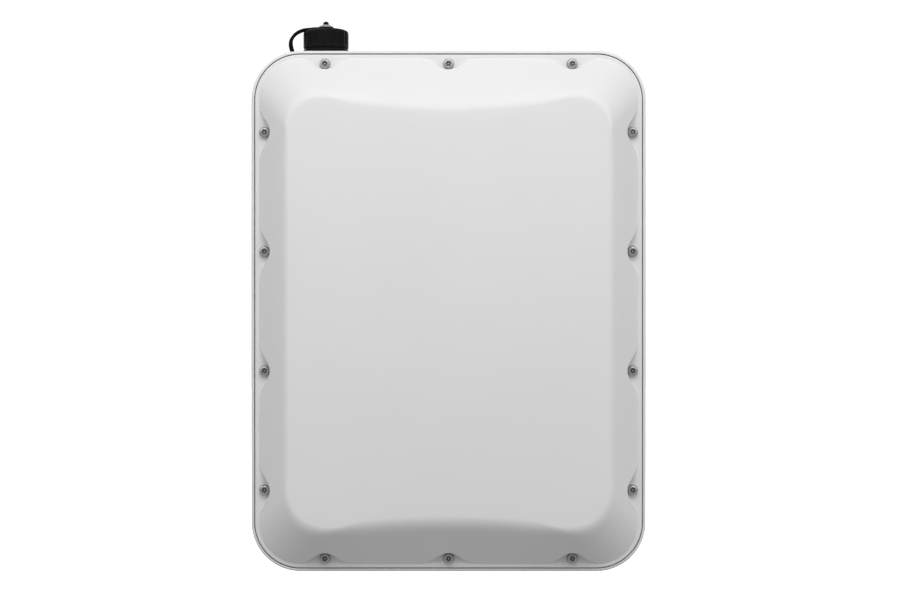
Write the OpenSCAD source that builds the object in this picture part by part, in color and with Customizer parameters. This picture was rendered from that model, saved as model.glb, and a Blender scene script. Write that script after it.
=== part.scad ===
// Flat outdoor antenna panel: a finned cast housing, a moulded radome cover
// held by fourteen screws, a capped data port on top, four plugged cable
// entries underneath and a patch-antenna array with its radio board inside.
// Frame: +X to the right, +Z up, the face looks along -Y. y = 0 is the rear
// mounting plane, and "depth" below means the distance in front of it.

/* [Panel outline] */
// Width across the casting rim
panel_w = 276.2; // [274:0.2:280]
// Height across the casting rim
panel_h = 364.6; // [361:0.2:367]
// Corner radius of the rim
corner_r = 34.4; // [32:0.1:40]
// Width of the thin rim that stands around the cover
rim_w = 2; // [1.8:0.1:2.6]
// Gap between the rim and the cover's edge
rim_gap = 0.7; // [0.5:0.1:1]

/* [Depths in front of the mounting plane] */
// Tips of the cooling fins
fin_tip_d = 2; // [1:0.5:4]
// Outer face of the back wall
back_d = 22; // [20:0.5:23]
// Back of the front flange
flange_back_d = 56.5; // [56:0.1:57]
// Ledge that the cover sits on
ledge_d = 62; // [61.5:0.1:62.5]
// Front of the rim and of the cover's flange
rim_d = 66; // [65.5:0.1:66.5]
// Height of the cover's raised face above the flange
dome_h = 29.3; // [27:0.1:31]
// Crown of the raised face
crown = 1.4; // [0.5:0.1:2]

/* [Raised face] */
// Distance from the rim's outside to the foot of the slope
foot_in = 5.3; // [5:0.1:6]
// Half width of the raised face
face_hw = 112.4; // [106:0.2:114]
// Height of the raised face's top corners above the middle
face_top = 155.4; // [152:0.1:158]
// Depth of the raised face's bottom corners below the middle
face_bot = 158.1; // [156:0.1:162]
// Inward bow of its top edge
face_bow = 12.8; // [8:0.1:18]
// Inward bow of its bottom edge
face_bow2 = 11.3; // [8:0.1:18]
// Radius of the raised face's top corners
face_r = 30; // [24:1:34]
// Radius of the raised face's bottom corners
face_r2 = 34; // [28:1:40]

/* [Cover screws] */
// Distance of the screws from the rim's outside
screw_in = 9.4; // [9:0.1:9.6]
// Spacing of the three screws along the top and the bottom
screw_px = 86.5; // [84:0.1:88]
// Spacing of the four screws along each side
screw_pz = 83.4; // [80:0.1:85]
// Diameter of the screw heads
head_d = 7; // [6.5:0.1:7.2]
// Height of the screw heads
head_h = 3.2; // [2.4:0.1:3.4]
// Depth of the bell-shaped pockets in the slope
pocket_v = 8.3; // [7.9:0.1:8.5]

/* [Housing] */
// Step in from the rim's outside to the body's side walls
body_in = 12; // [11.5:0.1:12.5]
// Wall thickness
wall = 3.5; // [3:0.1:4]
// Number of cooling fins
fin_n = 21; // [13:2:23]
// Fin thickness
fin_t = 2.4; // [2:0.1:3]
// Spacing of the four rear threaded holes
mount_p = 100; // [100]
// Radius of the M8 tapped holes
mount_r = 3.4; // [3.4]
// Depth of the tapped holes
mount_len = 16; // [12:1:18]
// Spacing of the two earthing-lug holes
earth_p = 15.9; // [15.9]

/* [Data port and dust cap] */
// Port axis, left of the middle
port_x = -87.1; // [-90:0.1:-80]
// Port axis, depth in front of the mounting plane
port_d = 39; // [38.8:0.1:39.2]
// Radius of the port's threaded neck
neck_r = 12.5; // [12:0.1:12.6]
// Outer diameter of the dust cap
cap_d = 32; // [31:0.1:32.5]
// Bottom edge of the dust cap
cap_z0 = 176; // [175.9:0.1:176.4]
// Shoulder of the dust cap
cap_z1 = 198; // [197:0.1:198]
// Number of flutes around the dust cap
flute_n = 20; // [12:1:24]

/* [Plugged entries] */
// First plug, from the middle
plug_x0 = -38.5; // [-39:0.1:-38]
// Spacing of the plugs
plug_p = 45.5; // [45:0.1:46]
// Radius of the domed ends
plug_r = 11.5; // [11:0.1:12]

/* [Antenna array] */
// Spacing of the patch rows
row_p = 66; // [62:1:68]
// Spacing of the two patch columns
col_p = 84; // [80:1:90]
// Side of the large patches
patch_a = 56; // [50:1:58]
// Diameter of the small patches
patch_d = 30; // [24:1:36]

/* [Hidden] */
$fn = 48;

hw = panel_w / 2;
hh = panel_h / 2;
body_w = panel_w - 2 * body_in;
body_h = panel_h - 2 * body_in;
body_r = corner_r - 8;
body_top = body_h / 2;
seat_d = rim_d + 0.8;              // screw heads sit on washers
screw_tip_d = seat_d - 9;
fin_p = 230 / (fin_n - 1);
foot_hw = hw - foot_in;
foot_hh = hh - foot_in;

board_x = 112;  board_z0 = -125;  board_z1 = 137;
board_d = 36;   board_t = 1.6;    board_f = board_d + board_t;
refl_d = 58;    refl_t = 1.5;     feed_d = 65; feed_t = 1.6;
post_xz = [for (x = [-104, 0, 104], z = [-117, 6, 129]) [x, z]];
refl_xz = [for (x = [-88, 88], z = [-100, -20, 112]) [x, z]];
plug_xs = [for (i = [0:3]) plug_x0 + i * plug_p];
patch_xz = [for (x = [-0.5, 0.5], z = [-1.5:1:1.5]) [x * col_p, z * row_p]];
feed_xz = [for (x = [-85, 0, 85], z = [-118, 0, 118]) [x, z]];
rf_xz = [[14, -62], [14, -40], [14, 42], [14, 64]];
pad_xz = [[-62, 48], [60, -34]];

// ---- helpers -------------------------------------------------------------
// A flat outline in X and Z, made solid from depth d0 to depth d1
module slab(d0, d1) translate([0, -d0, 0]) rotate([90, 0, 0])
  linear_extrude(d1 - d0) children();

// Rounded rectangle from four quarter discs and two bars
module rr(w, h, r) {
  square([w - 2 * r, h], center = true);
  square([w, h - 2 * r], center = true);
  for (x = [-1, 1], z = [-1, 1])
    translate([x * (w / 2 - r), z * (h / 2 - r)]) circle(r, $fn = 96);
}
module outline(i) rr(panel_w - 2 * i, panel_h - 2 * i, corner_r - i);
module body_outline(i) rr(body_w - 2 * i, body_h - 2 * i, body_r - i);

// A round rod along the depth at (x, z)
module rod(x, z, d0, d1, r, fn = 48) translate([x, -d0, z]) rotate([90, 0, 0])
  cylinder(r = r, h = d1 - d0, $fn = fn);
// A block centred at (x, z)
module block(x, z, w, h, d0, d1) translate([x - w / 2, -d1, z - h / 2])
  cube([w, d1 - d0, h]);
// Upright ring or disc on the port's axis
module tube_z(x, z0, z1, r, ri = 0) translate([x, -port_d, z0]) difference() {
  cylinder(r = r, h = z1 - z0);
  if (ri > 0) translate([0, 0, -1]) cylinder(r = ri, h = z1 - z0 + 2);
}

// ---- cover shape ----------------------------------------------------------
screw_xz = concat(
  [for (i = [-1:1]) [i * screw_px, hh - screw_in, 180]],
  [for (i = [-1:1]) [i * screw_px, -hh + screw_in, 0]],
  [for (i = [-1.5:1:1.5]) [-hw + screw_in, i * screw_pz, -90]],
  [for (i = [-1.5:1:1.5]) [hw - screw_in, i * screw_pz, 90]]);

n_bow = 10;  n_corner = 7;
// Share of the inward bow at a place along the top or bottom edge
function bowing(x, w, k) = 1 - pow(min(1, abs(x) / w), k);
function bent(p, w, b) = [p[0], p[1] - sign(p[1]) * b * bowing(p[0], w, p[1] > 0 ? 1.55 : 2)];
// Quarter of a rounded corner from angle a0, centred at (cx, cz)
function corner2(cx, cz, r, a0, w, b) = [for (i = [0:n_corner - 1])
  let (a = a0 + 90 * i / n_corner)
  bent([cx + r * cos(a), cz + r * sin(a)], w, b * abs(sin(a)))];
// Rounded outline, half width w, top t with radius r, bottom -u with radius q, edges bowed by b and e
function ring2(w, t, u, r, q, b, e) = concat(
  [[w, -(u - q)]],
  corner2(w - r, t - r, r, 0, w, b),
  [for (i = [0:n_bow - 1]) bent([(w - r) * (1 - 2 * i / n_bow), t], w, b)],
  corner2(-(w - r), t - r, r, 90, w, b),
  [[-w, t - r]],
  corner2(-(w - q), -(u - q), q, 180, w, e),
  [for (i = [0:n_bow - 1]) bent([-(w - q) * (1 - 2 * i / n_bow), -u], w, e)],
  corner2(w - q, -(u - q), q, 270, w, e));
n_ring = 2 + 2 * n_bow + 4 * n_corner;

// Levels [s, d]: s runs from the foot outline (0) to the face's edge (1);
// levels [-k, d] with k over 0.1 are the face's own rings, shrunk to k of the edge
function level(f, p, l) = [for (i = [0:n_ring - 1]) let (
    q = l[0] > -0.1 ? f[i] + (p[i] - f[i]) * l[0]
      : [p[i][0] * -l[0], -2 + (p[i][1] + 2) * -l[0]])
  [q[0], -l[1], q[1]]];
module loft(f, p, levels) {
  m = len(levels);
  polyhedron(
    points = concat([for (l = levels) each level(f, p, l)],
      [[0, -levels[m - 1][1] - 0.1, -2], [0, -levels[0][1], -2]]),
    faces = concat(
      [for (i = [0:n_ring - 1]) [i, (i + 1) % n_ring, m * n_ring + 1]],
      [for (j = [0:m - 2], i = [0:n_ring - 1]) let (k = (i + 1) % n_ring)
        each [[j * n_ring + i, (j + 1) * n_ring + i, j * n_ring + k],
              [j * n_ring + k, (j + 1) * n_ring + i, (j + 1) * n_ring + k]]],
      [for (i = [0:n_ring - 1]) [(m - 1) * n_ring + i, m * n_ring,
        (m - 1) * n_ring + (i + 1) % n_ring]]));
}
foot_ring = ring2(foot_hw, foot_hh, foot_hh, corner_r - foot_in, corner_r - foot_in, 0, 0);
face_ring = ring2(face_hw, face_top, face_bot, face_r, face_r2, face_bow, face_bow2);
in_foot = ring2(hw - 16.4, hh - 16.4, hh - 16.4, corner_r - 16.4, corner_r - 16.4, 0, 0);
in_face = ring2(face_hw - 1.8, face_top - 1.8, face_bot - 1.8, face_r - 1.8, face_r2 - 1.8, face_bow,
  face_bow2);

// Bell-shaped pocket outline, open towards the rim
module bell() polygon(concat(
  [for (u = [-24:2:24]) [u, pocket_v * exp(-pow(abs(u) / 11.3, 2.2))]],
  [[24, -2.2], [-24, -2.2]]));

// ---- nodes ------------------------------------------------------------------
// Back of the cast body: wall, fins, mounting bosses, board posts
module rear_housing() color("gainsboro") difference() {
  union() {
    slab(back_d, back_d + wall) body_outline(0);
    // cooling fins
    for (i = [0:fin_n - 1]) block(-115 + i * fin_p, 0, fin_t,
      abs(-115 + i * fin_p) > 108 ? 290 : 316, fin_tip_d, back_d + 1);
    // mounting bosses and the bars that join them
    for (x = [-1, 1]) {
      block(x * mount_p / 2, 0, 16, mount_p, 0, back_d + 1);
      for (z = [-1, 1]) rod(x * mount_p / 2, z * mount_p / 2, 0, back_d + 1, 13);
    }
    // pad for the earthing lug
    block(-84, -132, 36, 20, fin_tip_d, back_d + 1);
    // board posts and pedestals for the thermal pads
    for (p = post_xz) rod(p[0], p[1], back_d + wall - 1, board_d, 4);
    for (p = pad_xz) block(p[0], p[1], 44, 44, back_d + wall - 1, 31.5);
  }
  for (x = [-1, 1], z = [-1, 1]) rod(x * mount_p / 2, z * mount_p / 2, -1, mount_len, mount_r);
  for (x = [-1, 1]) rod(-84 + x * earth_p / 2, -132, 0, fin_tip_d + 12, 2.5);
  for (p = post_xz) rod(p[0], p[1], board_d - 8, board_d + 1, 1.45);
}

// Side walls of the cast body with the front flange, its ledge and the thin rim
module housing_frame() color("gainsboro") difference() {
  union() {
    difference() {
      union() {
        slab(back_d + wall, rim_d - 1) body_outline(0);
        slab(flange_back_d, rim_d) outline(0);
      }
      slab(back_d, rim_d + 1) body_outline(wall);
      slab(ledge_d, rim_d + 1) outline(rim_w);
      // groove for the cover gasket
      slab(ledge_d - 1.6, ledge_d + 1) difference() { outline(12.2); outline(14.8); }
    }
    // thick floor for the plugged entries and the vent
    block(6, -body_top + 6.5, 226, 7, 27, 52);
    // bosses behind the flange for the cover screws, left out under the port's flange
    for (s = screw_xz) if (s[1] < hh - 20 || abs(s[0] - port_x) > 20)
      rod(s[0], s[1], 52.5, flange_back_d + 0.5, 5);
  }
  for (s = screw_xz) rod(s[0], s[1], screw_tip_d - 0.4, ledge_d + 1, 2.0);
  // top port, with a flat seat for its jam nut
  translate([port_x, -port_d, body_top - wall - 5]) cylinder(r = 11, h = 20);
  block(port_x, body_top - wall - 3, 31, 6, back_d + wall + 0.5, 54);
  // plugged entries and vent
  for (x = plug_xs) translate([x, -port_d, -body_top - 5]) cylinder(r = 10, h = 25);
  translate([-88, -port_d, -body_top - 5]) cylinder(r = 6, h = 25);
}

// Moulded front cover with its raised face, screw pockets and hollow inside
module radome_cover() color("whitesmoke") difference() {
  union() {
    slab(ledge_d, rim_d) outline(rim_w + rim_gap);
    loft(foot_ring, face_ring, [[-0.03, rim_d - 0.9], [0.44, rim_d + 0.44 * dome_h],
      [0.86, rim_d + 0.86 * dome_h], [0.96, rim_d + 0.945 * dome_h],
      [1.07, rim_d + 0.985 * dome_h], [1.2, rim_d + dome_h],
      [-0.6, rim_d + dome_h + 0.64 * crown], [-0.25, rim_d + dome_h + 0.93 * crown]]);
  }
  loft(in_foot, in_face, [[0, ledge_d - 1], [0, rim_d + 2.5], [0.9, rim_d + dome_h - 6.4],
      [1.12, rim_d + dome_h - 3.3], [1.3, rim_d + dome_h - 2.9],
      [-0.5, rim_d + dome_h - 2.9 + 0.75 * crown]]);
  for (s = screw_xz) {
    translate([s[0], 0, s[1]]) rotate([0, -s[2], 0]) translate([0, 0, -screw_in + foot_in])
      slab(rim_d, rim_d + 20) bell();
    rod(s[0], s[1], ledge_d - 1, rim_d + 1, 2.25);
  }
}

// Stainless cover screws with a six-sided socket and a centre pin
module cover_screws() color("silver") for (s = screw_xz) difference() {
  union() {
    rod(s[0], s[1], screw_tip_d, seat_d + 0.5, 1.95);
    rod(s[0], s[1], seat_d, seat_d + head_h - 0.5, head_d / 2);
    translate([s[0], -(seat_d + head_h - 0.5), s[1]]) rotate([90, 0, 0])
      cylinder(r1 = head_d / 2, r2 = head_d / 2 - 0.5, h = 0.5);
  }
  difference() {
    rod(s[0], s[1], seat_d + head_h - 2, seat_d + head_h + 1, 1.75, 6);
    rod(s[0], s[1], seat_d + head_h - 3, seat_d + head_h - 0.6, 0.5, 24);
  }
}
module cover_screw_washers() color("silver") for (s = screw_xz) difference() {
  rod(s[0], s[1], rim_d, seat_d, head_d / 2 + 0.3);
  rod(s[0], s[1], rim_d - 1, seat_d + 1, 2.15);
}
// Rubber cord in the ledge groove
module cover_gasket() color("dimgray") slab(ledge_d - 1.5, ledge_d)
  difference() { outline(12.4); outline(14.6); }

// Receptacle shell: flange, threaded neck and the tube through the top wall
module port_body() color("darkgray") difference() {
  union() {
    tube_z(port_x, body_top - 18, body_top + 2, 10.9);
    tube_z(port_x, body_top + 1, body_top + 3.4, 15);
    tube_z(port_x, body_top + 3, 188, neck_r);
  }
  tube_z(port_x, body_top - 19, 190, 9.5);
  for (i = [0:2]) tube_z(port_x, 177.5 + 3 * i, 178.7 + 3 * i, neck_r + 1, neck_r - 0.7);
}
module port_seal() color("dimgray") tube_z(port_x, body_top, body_top + 1, 14, 11.1);
// Hexagonal jam nut inside the top wall
module port_jam_nut() color("silver") difference() {
  translate([port_x, -port_d, body_top - wall - 4.5]) cylinder(r = 14.4, h = 4.5, $fn = 6);
  tube_z(port_x, body_top - wall - 6, body_top, 10.95);
}
// Socket insert with its keyed opening
module port_insert() color("#303030") difference() {
  tube_z(port_x, body_top - 17, 184, 9.4);
  block(port_x, 184 - 7, 11.8, 15, port_d - 3.6, port_d + 3.2);
  block(port_x, 184 - 7, 6, 15, port_d - 5.2, port_d - 3);
}
module port_contacts() color("goldenrod") for (i = [-3.5:1:3.5])
  block(port_x + i * 1.02, 175.5, 0.5, 12, port_d + 2.4, port_d + 3.2);
module port_lead() color("#404040") for (i = [-1, 1])
  translate([port_x + i * 3, -port_d - 2.5, 128]) cylinder(r = 2.2, h = body_top - 17 - 128);

// Tether strap: a ring round the neck, a flat band and an eyelet on the cap
strap = [[-4.6, 201.02], [-6.8, 200.97], [-8.2, 200.9], [-9.7, 200.7], [-12.5, 200.3], [-13.9, 200.0],
  [-15.3, 199.6], [-16.8, 199.06], [-18.2, 198.6], [-19.6, 197.94], [-21.0, 197.04], [-22.2, 196.0],
  [-23.1, 194.96], [-23.9, 193.8], [-24.5, 192.7], [-24.85, 191.4], [-25.0, 190.0], [-24.95, 188.5],
  [-24.7, 187.0], [-24.3, 185.6], [-23.4, 183.2], [-22.0, 180.7], [-20.1, 178.2], [-17.9, 176.0],
  [-16.0, 174.8]];
strap_t = [0.6, 0.56, 0.6, 0.68, 0.98, 1.35, 1.75, 1.95, 1.96, 1.93, 1.84, 1.78, 1.73, 1.78, 2.0, 2.28,
  2.6, 2.82, 2.92, 2.9, 2.85, 2.7, 2.4, 2.1, 1.8];
function strap_n(i) = let (a = strap[max(0, i - 1)], b = strap[min(len(strap) - 1, i + 1)],
  v = b - a) [-v[1], v[0]] / norm(v);
module tether_strap() color("#202020") {
  translate([port_x, 0, 0]) slab(port_d - 3.5, port_d + 3.5) polygon(concat(
    [for (i = [0:len(strap) - 1]) strap[i] + strap_n(i) * strap_t[i] / 2],
    [for (i = [len(strap) - 1:-1:0]) strap[i] - strap_n(i) * strap_t[i] / 2]));
  tube_z(port_x, 200.68, 201.35, 5.4, 1.8);
  tube_z(port_x, body_top + 3.5, body_top + 5.3, 16.4, neck_r + 0.2);
}
module tether_washer() color("lightgray") translate([port_x, -port_d, 201.4]) difference() {
  union() { cylinder(r = 5.1, h = 0.5); translate([0, 0, 0.5]) cylinder(r1 = 5.1, r2 = 2.6, h = 1.3); }
  translate([0, 0, -1]) cylinder(r = 1.8, h = 4);
}
// Fluted screw-on dust cap
module dust_cap() color("#181818") translate([port_x, -port_d, 0]) difference() {
  union() {
    translate([0, 0, cap_z0]) cylinder(r = cap_d / 2, h = cap_z1 - 0.6 - cap_z0);
    translate([0, 0, cap_z1 - 0.6]) cylinder(r1 = cap_d / 2, r2 = cap_d / 2 - 0.8, h = 1.1);
    translate([0, 0, cap_z1 + 0.5]) cylinder(r1 = cap_d / 2 - 0.8, r2 = 12.4, h = 1.2);
    translate([0, 0, cap_z1 + 1.7]) cylinder(r1 = 12.4, r2 = 8.85, h = 0.7);
    translate([0, 0, cap_z1 + 2.4]) cylinder(r1 = 8.85, r2 = 6, h = 0.22);
  }
  // groove above the cap's foot
  translate([0, 0, 185.3]) difference() {
    cylinder(r = 20, h = 0.9);
    translate([0, 0, -1]) cylinder(r = cap_d / 2 - 0.5, h = 3);
  }
  translate([0, 0, cap_z0 - 1]) cylinder(r = neck_r + 0.1, h = 190 - cap_z0 + 1);
  translate([0, 0, 188]) cylinder(r = 8, h = 7);
  translate([0, 0, 194]) cylinder(r = 1.6, h = 8);
  for (i = [0:flute_n - 1]) rotate([0, 0, (i + 0.5) * 360 / flute_n])
    translate([cap_d / 2 + 0.75, 0, 188]) cylinder(r = 1.25, h = 20, $fn = 24);
}
module cap_seal() color("#303030") tube_z(port_x, 188.05, 190, neck_r - 0.1, 9.6);
// Push rivet that holds the strap's eyelet and washer on the cap
module cap_rivet() color("#181818") translate([port_x, -port_d, 0]) {
  translate([0, 0, 193.9]) cylinder(r1 = 1.2, r2 = 2.3, h = 1);
  translate([0, 0, 194.5]) cylinder(r = 1.55, h = 9);
  translate([0, 0, 203.3]) cylinder(r = 2.0, h = 0.8);
  translate([0, 0, 204.1]) cylinder(r1 = 2.0, r2 = 0.9, h = 1.4);
}

// Domed blanking plugs in the bottom wall
module entry_plugs() color("lightgray") for (x = plug_xs) translate([x, -port_d, 0]) {
  translate([0, 0, -body_top - 5.5]) cylinder(r = 13.4, h = 4, $fn = 6);
  translate([0, 0, -body_top - 2]) cylinder(r = 9.9, h = 11.5);
  intersection() {
    translate([0, 0, -body_top - 3.6]) sphere(r = plug_r);
    translate([-15, -15, -body_top - 20]) cube([30, 30, 15]);
  }
}
module entry_plug_seals() color("dimgray") for (x = plug_xs) tube_z(x, -body_top - 1.5, -body_top, 12.4, 10);
// Pressure-equalising vent
module vent_body() color("lightgray") difference() {
  union() {
    tube_z(-88, -body_top - 5.5, -body_top - 1.2, 9);
    tube_z(-88, -body_top - 2, -body_top + 9, 5.95);
  }
  tube_z(-88, -body_top - 4, -body_top + 12, 3.5);
  for (a = [0:60:300]) translate([-88, -port_d, -body_top - 3.4]) rotate([0, 90, a])
    cylinder(r = 0.7, h = 12, $fn = 24);
}
module vent_seal() color("dimgray") tube_z(-88, -body_top - 1.2, -body_top, 8.4, 6);
module vent_membrane() color("white") tube_z(-88, -body_top + 7, -body_top + 7.4, 3.45);

// Radio board on the housing's posts
module main_board() color("darkgreen") difference() {
  block(0, (board_z0 + board_z1) / 2, 2 * board_x, board_z1 - board_z0, board_d, board_f);
  for (p = post_xz) rod(p[0], p[1], board_d - 1, board_f + 1, 1.7);
  for (p = refl_xz) rod(p[0], p[1], board_d - 1, board_f + 1, 1.6);
}
module board_screws() color("silver") for (p = post_xz) {
  rod(p[0], p[1], board_f, board_f + 2.2, 2.8);
  rod(p[0], p[1], board_d - 7.4, board_f + 0.5, 1.4);
}
module board_chips() color("#202020") {
  block(-62, 62, 27, 27, board_f, board_f + 2.2);
  block(-34, 72, 13, 11, board_f, board_f + 1.1);
  block(-34, 54, 13, 11, board_f, board_f + 1.1);
  block(48, -52, 22, 22, board_f, board_f + 1.8);
  block(74, -52, 9, 9, board_f, board_f + 1);
  block(48, 50, 22, 22, board_f, board_f + 1.8);
  block(72, 56, 9, 9, board_f, board_f + 1);
  for (i = [0:3]) block(-20 + 12 * i, 116, 6, 8, board_f, board_f + 1.6);
}
module power_chips() color("#202020") for (p = pad_xz)
  block(p[0], p[1], 32, 32, 33, board_d);
module thermal_pads() color("lightpink") for (p = pad_xz)
  block(p[0], p[1], 36, 36, 31.5, 33);
// Shield frames soldered round each circuit block, with press-on lids
cans = [[-50, 62, 60, 44], [56, -50, 56, 44], [56, 52, 56, 44]];
module shield_frames() color("silver") for (c = cans) difference() {
  block(c[0], c[1], c[2], c[3], board_f, board_f + 5.4);
  block(c[0], c[1], c[2] - 0.8, c[3] - 0.8, board_f - 1, board_f + 5);
  block(c[0], c[1], c[2] - 8, c[3] - 8, board_f - 1, board_f + 6);
}
module shield_lids() color("gainsboro") for (c = cans) difference() {
  block(c[0], c[1], c[2] + 1.0, c[3] + 1.0, board_f + 1.6, board_f + 5.9);
  block(c[0], c[1], c[2] + 0.1, c[3] + 0.1, board_f + 1, board_f + 5.45);
}
module power_module() color("#303030") {
  block(-54, -88, 58, 37, board_f, board_f + 11);
  for (x = [-1, 1]) block(-54 + x * 20, -88, 3, 30, board_f + 11, board_f + 12.5);
}
module line_transformers() color("#252525") for (x = [-72, -52, -32])
  block(x, 104, 14, 13, board_f, board_f + 7);
module capacitors() color("steelblue") for (x = [-8, 6], z = [-84, -98])
  rod(x, z, board_f, board_f + 12.5, 5);
module lead_header() color("ivory") block(port_x, 122, 22, 12, board_f, board_f + 8);
module rf_sockets() color("goldenrod") for (p = rf_xz) {
  block(p[0], p[1], 7, 7, board_f, board_f + 1.5);
  rod(p[0], p[1], board_f + 1.5, board_f + 6, 3);
}
module rf_leads() color("peru") for (p = rf_xz)
  rod(p[0], p[1], board_f + 6, feed_d, 1.1);
// Hexagonal posts that carry the reflector
module reflector_posts() color("silver") for (p = refl_xz) {
  difference() {
    rod(p[0], p[1], board_f, refl_d, 3.2, 6);
    rod(p[0], p[1], refl_d - 8, refl_d + 1, 1.3);
  }
  rod(p[0], p[1], board_d - 3, board_f + 0.5, 1.55);
  rod(p[0], p[1], board_d - 2.6, board_d, 2.9, 6);
}
// Reflector tray with a turned-up edge
module antenna_reflector() color("lightgray") difference() {
  union() {
    slab(refl_d, refl_d + refl_t) rr(236, 320, 9);
    difference() {
      block(0, 0, 220, 300, refl_d, refl_d + 12);
      block(0, 0, 217, 297, refl_d + 1, refl_d + 13);
    }
  }
  for (p = refl_xz) rod(p[0], p[1], refl_d - 1, refl_d + 3, 1.7);
  for (p = feed_xz) rod(p[0], p[1], refl_d - 1, refl_d + 3, 2.0);
  for (p = rf_xz) rod(p[0], p[1], refl_d - 1, refl_d + 3, 3);
}
module reflector_screws() color("silver") for (p = refl_xz) {
  rod(p[0], p[1], refl_d + refl_t, refl_d + refl_t + 2, 2.8);
  rod(p[0], p[1], refl_d - 6, refl_d + refl_t + 0.5, 1.25);
}
// Nylon snap posts between reflector and feed board
module feed_spacers() color("white") for (p = feed_xz) {
  rod(p[0], p[1], refl_d + refl_t, feed_d, 3.5);
  rod(p[0], p[1], refl_d - 2.4, refl_d + refl_t + 0.5, 1.9);
  rod(p[0], p[1], feed_d - 0.5, feed_d + feed_t + 2, 1.6);
}
module feed_board() color("seagreen") difference() {
  block(0, 0, 190, 270, feed_d, feed_d + feed_t);
  for (p = feed_xz) rod(p[0], p[1], feed_d - 1, feed_d + 3, 1.7);
}
module patch_spacers() color("white") for (p = patch_xz) difference() {
  union() {
    rod(p[0], p[1], feed_d + feed_t, feed_d + feed_t + 5, 4);
    rod(p[0], p[1], feed_d + feed_t + 4.5, feed_d + feed_t + 11.8, 2);
    rod(p[0], p[1], feed_d + feed_t + 5.8, feed_d + feed_t + 10.8, 3.4);
  }
  rod(p[0], p[1], feed_d + feed_t - 1, feed_d + feed_t + 2, 1);
}
module patches_low() color("goldenrod") for (p = patch_xz) difference() {
  block(p[0], p[1], patch_a, patch_a, feed_d + feed_t + 5, feed_d + feed_t + 5.8);
  rod(p[0], p[1], feed_d + feed_t + 4, feed_d + feed_t + 7, 2.05);
}
module patches_high() color("peru") for (p = patch_xz) difference() {
  rod(p[0], p[1], feed_d + feed_t + 10.8, feed_d + feed_t + 11.4, patch_d / 2);
  rod(p[0], p[1], feed_d + feed_t + 10, feed_d + feed_t + 13, 2.05);
}

rear_housing();
housing_frame();
radome_cover();
cover_screws();
cover_screw_washers();
cover_gasket();
port_body();
port_seal();
port_jam_nut();
port_insert();
port_contacts();
port_lead();
tether_strap();
tether_washer();
dust_cap();
cap_seal();
cap_rivet();
entry_plugs();
entry_plug_seals();
vent_body();
vent_seal();
vent_membrane();
main_board();
board_screws();
board_chips();
power_chips();
thermal_pads();
shield_frames();
shield_lids();
power_module();
line_transformers();
capacitors();
lead_header();
rf_sockets();
rf_leads();
reflector_posts();
antenna_reflector();
reflector_screws();
feed_spacers();
feed_board();
patch_spacers();
patches_low();
patches_high();
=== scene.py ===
# Flat outdoor antenna panel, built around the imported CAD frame.
import bpy, bmesh, math
import numpy as np
from mathutils import Vector, Matrix
from mathutils.geometry import delaunay_2d_cdt


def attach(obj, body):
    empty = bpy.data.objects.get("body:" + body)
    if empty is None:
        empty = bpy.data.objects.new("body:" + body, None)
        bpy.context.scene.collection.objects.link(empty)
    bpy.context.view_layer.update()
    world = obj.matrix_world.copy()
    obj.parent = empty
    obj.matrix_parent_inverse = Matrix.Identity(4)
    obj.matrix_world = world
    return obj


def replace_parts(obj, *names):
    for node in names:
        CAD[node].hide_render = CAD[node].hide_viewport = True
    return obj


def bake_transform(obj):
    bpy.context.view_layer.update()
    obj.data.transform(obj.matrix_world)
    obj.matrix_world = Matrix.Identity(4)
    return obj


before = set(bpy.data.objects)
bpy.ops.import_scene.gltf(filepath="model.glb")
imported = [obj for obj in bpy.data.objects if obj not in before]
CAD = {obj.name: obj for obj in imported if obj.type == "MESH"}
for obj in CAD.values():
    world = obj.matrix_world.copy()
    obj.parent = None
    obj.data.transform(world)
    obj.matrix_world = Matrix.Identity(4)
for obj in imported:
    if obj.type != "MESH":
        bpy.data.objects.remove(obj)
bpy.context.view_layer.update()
MM = 0.001
PI = math.pi

# ------------------------------------------------------------------ dimensions
HW, HH, CR = 138.1, 182.3, 34.4          # rim outline
FOOT_IN, RIM_D, LEDGE_D = 5.3, 66.0, 62.0
DOME_H, CROWN = 29.3, 1.36
SCREW_IN, SPX, SPZ = 9.4, 86.5, 83.4
FACE_HW, FACE_T, FACE_B = 112.4, 155.4, 158.1
BOW_T, BOW_B = 12.8, 11.3                # inward bow of the raised face's top and bottom edges
FACE_RT, FACE_RB = 30.0, 34.0            # top and bottom corners of the raised face
PX, PD = -87.1, 39.0
BODY_TOP = 170.3
SCREWS = ([(i * SPX, HH - SCREW_IN, "T") for i in (-1, 0, 1)]
          + [(i * SPX, -HH + SCREW_IN, "B") for i in (-1, 0, 1)]
          + [(-HW + SCREW_IN, i * SPZ, "L") for i in (-1.5, -.5, .5, 1.5)]
          + [(HW - SCREW_IN, i * SPZ, "R") for i in (-1.5, -.5, .5, 1.5)])


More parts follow.
